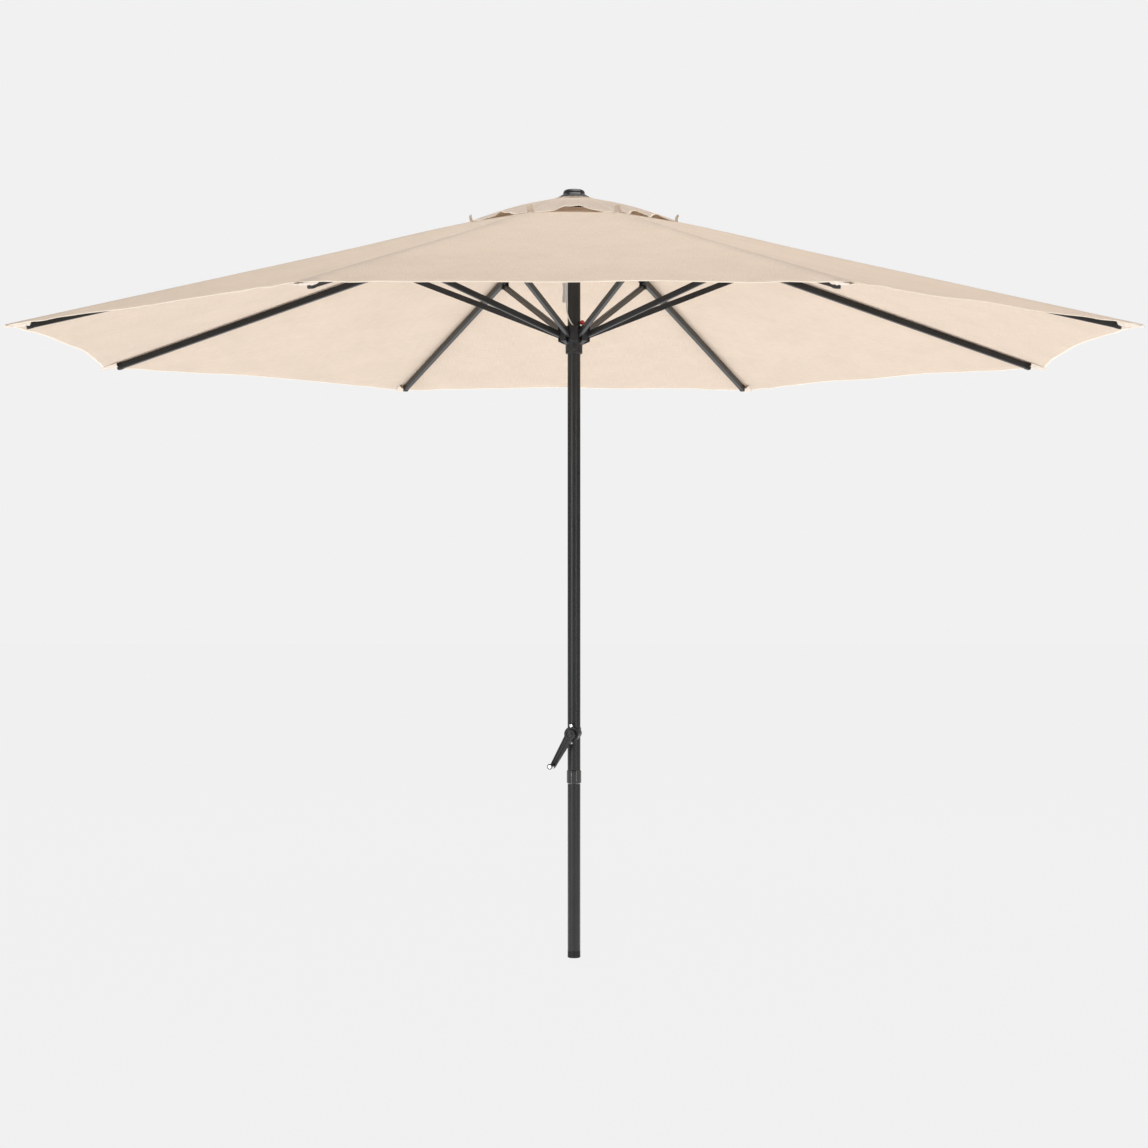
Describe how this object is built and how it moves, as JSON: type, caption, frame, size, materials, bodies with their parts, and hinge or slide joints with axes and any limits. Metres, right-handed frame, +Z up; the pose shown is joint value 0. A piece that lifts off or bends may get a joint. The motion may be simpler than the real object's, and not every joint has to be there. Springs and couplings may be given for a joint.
{
  "type": "patio umbrella",
  "caption": "Octagonal market-style patio umbrella with a vented fabric canopy, folding ribs and struts on a sliding runner, a two-piece metal pole and a crank lift; pole foot is bare.",
  "frame": {"origin": "centre of the pole's foot, on the pole axis, which is the bottom centre of the whole umbrella", "axes": "+Z up along the pole; the crank side faces -Y; the eight ribs stand at 22.5 degrees and every 45 degrees from there"},
  "size_m": [3.0488, 3.0488, 2.27],
  "materials": {
    "frame_black": "satin black powder coat",
    "plastic_black": "satin moulded black plastic",
    "gloss_black": "glossy black plastic",
    "bright_steel": "bright zinc-plated steel",
    "canopy_fabric": "beige woven polyester canopy cloth",
    "cord_white": "white braided cord",
    "bead_red": "glossy red plastic",
    "tag_white": "white woven label"
  },
  "bodies": {
    "pole": {"lower_pole": "frame_black", "upper_pole": "frame_black", "pole_end_cap": "plastic_black", "joint_sleeve": "bright_steel", "joint_collar": "gloss_black", "crank_housing": "plastic_black", "crank_rear_cover": "plastic_black", "housing_screws": "bright_steel", "brake_ring": "bright_steel", "crown_hub": "plastic_black", "crown_pins": "bright_steel", "finial": "plastic_black", "pulley_pin": "bright_steel", "lift_cord": "cord_white", "canopy": "canopy_fabric", "vent_cap": "canopy_fabric"},
    "runner": {"runner": "plastic_black", "runner_screw": "plastic_black", "stop_bead": "bead_red", "care_tag": "tag_white"},
    "crank": {"crank_spool": "bright_steel", "crank_arm": "plastic_black", "crank_screw": "bright_steel", "crank_knob_pin": "bright_steel"},
    "knob": {"crank_knob": "plastic_black"},
    "pulley": {"pulley": "plastic_black"},
    "rib_1": {"rib_1": "frame_black", "rib_tip_1": "plastic_black", "rib_bracket_1": "plastic_black"},
    "strut_1": {"strut_1": "frame_black"},
    "rib_2": {"rib_2": "frame_black", "rib_tip_2": "plastic_black", "rib_bracket_2": "plastic_black"},
    "strut_2": {"strut_2": "frame_black"},
    "rib_3": {"rib_3": "frame_black", "rib_tip_3": "plastic_black", "rib_bracket_3": "plastic_black"},
    "strut_3": {"strut_3": "frame_black"},
    "rib_4": {"rib_4": "frame_black", "rib_tip_4": "plastic_black", "rib_bracket_4": "plastic_black"},
    "strut_4": {"strut_4": "frame_black"},
    "rib_5": {"rib_5": "frame_black", "rib_tip_5": "plastic_black", "rib_bracket_5": "plastic_black"},
    "strut_5": {"strut_5": "frame_black"},
    "rib_6": {"rib_6": "frame_black", "rib_tip_6": "plastic_black", "rib_bracket_6": "plastic_black"},
    "strut_6": {"strut_6": "frame_black"},
    "rib_7": {"rib_7": "frame_black", "rib_tip_7": "plastic_black", "rib_bracket_7": "plastic_black"},
    "strut_7": {"strut_7": "frame_black"},
    "rib_8": {"rib_8": "frame_black", "rib_tip_8": "plastic_black", "rib_bracket_8": "plastic_black"},
    "strut_8": {"strut_8": "frame_black"}
  },
  "joints": [
    {"name": "rib_1_fold", "type": "hinge", "parent": "pole", "child": "rib_1", "pos_m": [0.0388, 0.01607, 2.213], "axis": [-0.3827, 0.9239, 0], "range_deg": [0, 70.67], "deforming": ["canopy", "vent_cap", "lift_cord"]},
    {"name": "rib_2_fold", "type": "hinge", "parent": "pole", "child": "rib_2", "pos_m": [0.01607, 0.0388, 2.213], "axis": [-0.9239, 0.3827, 0], "range_deg": [0, 70.67]},
    {"name": "rib_3_fold", "type": "hinge", "parent": "pole", "child": "rib_3", "pos_m": [-0.01607, 0.0388, 2.213], "axis": [-0.9239, -0.3827, 0], "range_deg": [0, 70.67]},
    {"name": "rib_4_fold", "type": "hinge", "parent": "pole", "child": "rib_4", "pos_m": [-0.0388, 0.01607, 2.213], "axis": [-0.3827, -0.9239, 0], "range_deg": [0, 70.67]},
    {"name": "rib_5_fold", "type": "hinge", "parent": "pole", "child": "rib_5", "pos_m": [-0.0388, -0.01607, 2.213], "axis": [0.3827, -0.9239, 0], "range_deg": [0, 70.67]},
    {"name": "rib_6_fold", "type": "hinge", "parent": "pole", "child": "rib_6", "pos_m": [-0.01607, -0.0388, 2.213], "axis": [0.9239, -0.3827, 0], "range_deg": [0, 70.67]},
    {"name": "rib_7_fold", "type": "hinge", "parent": "pole", "child": "rib_7", "pos_m": [0.01607, -0.0388, 2.213], "axis": [0.9239, 0.3827, 0], "range_deg": [0, 70.67]},
    {"name": "rib_8_fold", "type": "hinge", "parent": "pole", "child": "rib_8", "pos_m": [0.0388, -0.01607, 2.213], "axis": [0.3827, 0.9239, 0], "range_deg": [0, 70.67]},
    {"name": "strut_1_swing", "type": "hinge", "parent": "rib_1", "child": "strut_1", "pos_m": [0.53297, 0.22076, 2.05069], "axis": [0.3827, -0.9239, 0], "range_deg": [0, 137]},
    {"name": "strut_2_swing", "type": "hinge", "parent": "rib_2", "child": "strut_2", "pos_m": [0.22076, 0.53297, 2.05069], "axis": [0.9239, -0.3827, 0], "range_deg": [0, 137]},
    {"name": "strut_3_swing", "type": "hinge", "parent": "rib_3", "child": "strut_3", "pos_m": [-0.22076, 0.53297, 2.05069], "axis": [0.9239, 0.3827, 0], "range_deg": [0, 137]},
    {"name": "strut_4_swing", "type": "hinge", "parent": "rib_4", "child": "strut_4", "pos_m": [-0.53297, 0.22076, 2.05069], "axis": [0.3827, 0.9239, 0], "range_deg": [0, 137]},
    {"name": "strut_5_swing", "type": "hinge", "parent": "rib_5", "child": "strut_5", "pos_m": [-0.53297, -0.22076, 2.05069], "axis": [-0.3827, 0.9239, 0], "range_deg": [0, 137]},
    {"name": "strut_6_swing", "type": "hinge", "parent": "rib_6", "child": "strut_6", "pos_m": [-0.22076, -0.53297, 2.05069], "axis": [-0.9239, 0.3827, 0], "range_deg": [0, 137]},
    {"name": "strut_7_swing", "type": "hinge", "parent": "rib_7", "child": "strut_7", "pos_m": [0.22076, -0.53297, 2.05069], "axis": [-0.9239, -0.3827, 0], "range_deg": [0, 137]},
    {"name": "strut_8_swing", "type": "hinge", "parent": "rib_8", "child": "strut_8", "pos_m": [0.53297, -0.22076, 2.05069], "axis": [-0.3827, -0.9239, 0], "range_deg": [0, 137]},
    {"name": "runner_slide", "type": "slide", "parent": "pole", "child": "runner", "axis": [0, 0, -1], "range_m": [0, 0.7586]},
    {"name": "crank_spin", "type": "hinge", "parent": "pole", "child": "crank", "pos_m": [0, 0, 0.662], "axis": [-0.2756, -0.9613, 0], "range_deg": [0, 4776.2]},
    {"name": "pulley_spin", "type": "hinge", "parent": "pole", "child": "pulley", "pos_m": [-0.01, 0, 2.165], "axis": [0, -1, 0], "range_deg": [0, 3622.2]},
    {"name": "knob_spin", "type": "hinge", "parent": "crank", "child": "knob", "pos_m": [-0.06772, -0.043, 0.56827], "axis": [-0.2756, -0.9613, 0], "continuous": true}
  ],
  "couplings": [
    {"joint": "rib_2_fold", "follows": "rib_1_fold", "ratio": 1},
    {"joint": "rib_3_fold", "follows": "rib_1_fold", "ratio": 1},
    {"joint": "rib_4_fold", "follows": "rib_1_fold", "ratio": 1},
    {"joint": "rib_5_fold", "follows": "rib_1_fold", "ratio": 1},
    {"joint": "rib_6_fold", "follows": "rib_1_fold", "ratio": 1},
    {"joint": "rib_7_fold", "follows": "rib_1_fold", "ratio": 1},
    {"joint": "rib_8_fold", "follows": "rib_1_fold", "ratio": 1},
    {"joint": "strut_1_swing", "follows": "rib_1_fold", "ratio": 1.9369},
    {"joint": "strut_2_swing", "follows": "rib_1_fold", "ratio": 1.9369},
    {"joint": "strut_3_swing", "follows": "rib_1_fold", "ratio": 1.9369},
    {"joint": "strut_4_swing", "follows": "rib_1_fold", "ratio": 1.9369},
    {"joint": "strut_5_swing", "follows": "rib_1_fold", "ratio": 1.9369},
    {"joint": "strut_6_swing", "follows": "rib_1_fold", "ratio": 1.9369},
    {"joint": "strut_7_swing", "follows": "rib_1_fold", "ratio": 1.9369},
    {"joint": "strut_8_swing", "follows": "rib_1_fold", "ratio": 1.9369},
    {"joint": "runner_slide", "follows": "rib_1_fold", "m_per_rad": 0.61488},
    {"joint": "crank_spin", "follows": "rib_1_fold", "ratio": 67.57},
    {"joint": "pulley_spin", "follows": "rib_1_fold", "ratio": 51.24}
  ]
}
